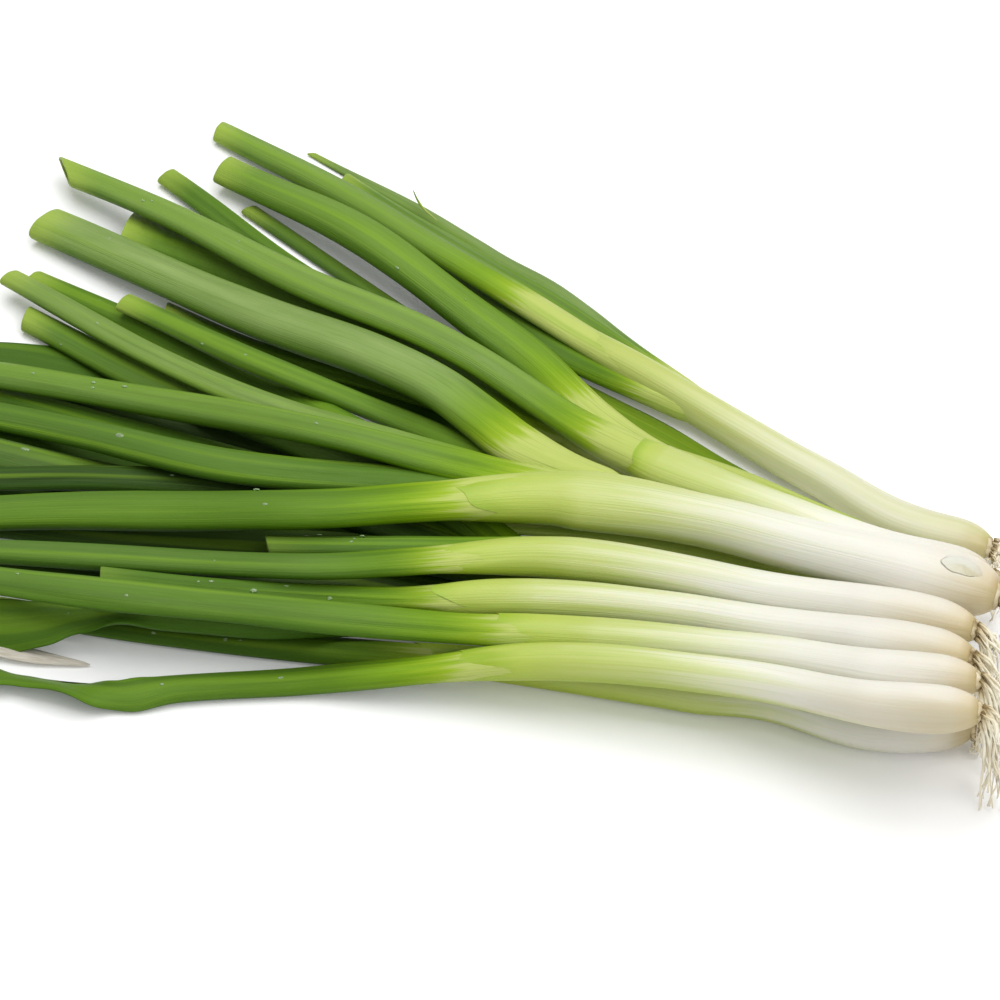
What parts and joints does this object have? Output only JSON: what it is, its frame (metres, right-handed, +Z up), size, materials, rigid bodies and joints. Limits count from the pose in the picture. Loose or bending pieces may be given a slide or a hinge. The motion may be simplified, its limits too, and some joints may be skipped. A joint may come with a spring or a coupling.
{
  "type": "spring onion bunch",
  "caption": "Loose bunch of spring onions lying on a table, white bulbs and roots together at one end, cut hollow leaves fanned out at the other.",
  "frame": {"origin": "on the table, under the middle of the bunch's bounding box", "axes": "+X along the bunch towards the bulbs and roots, leaves fan out towards -X, +Z up from the table, -Y is the front"},
  "size_m": [0.301, 0.2152, 0.0354],
  "materials": {
    "white_stem": "moist, smooth, slightly glossy white skin, fading to pale yellow-green at the neck",
    "green_leaf": "satin green leaf with fine ribs along it, paler near the neck and at its cut rim",
    "root": "dry, matt, straw-coloured hair roots"
  },
  "bodies": {
    "root": {"onion_01_shank": "white_stem", "onion_01_leaves": "green_leaf", "onion_01_roots": "root", "onion_02_shank": "white_stem", "onion_02_leaves": "green_leaf", "onion_02_roots": "root", "onion_03_shank": "white_stem", "onion_03_leaves": "green_leaf", "onion_03_roots": "root", "onion_04_shank": "white_stem", "onion_04_leaves": "green_leaf", "onion_04_roots": "root", "onion_05_shank": "white_stem", "onion_05_leaves": "green_leaf", "onion_05_roots": "root", "onion_06_shank": "white_stem", "onion_06_leaves": "green_leaf", "onion_06_roots": "root", "onion_07_shank": "white_stem", "onion_07_leaves": "green_leaf", "onion_07_roots": "root", "onion_08_shank": "white_stem", "onion_08_leaves": "green_leaf", "onion_08_roots": "root", "onion_09_shank": "white_stem", "onion_09_leaves": "green_leaf", "onion_09_roots": "root", "onion_10_shank": "white_stem", "onion_10_leaves": "green_leaf", "onion_10_roots": "root", "onion_11_shank": "white_stem", "onion_11_leaves": "green_leaf", "onion_11_roots": "root"}
  },
  "joints": []
}
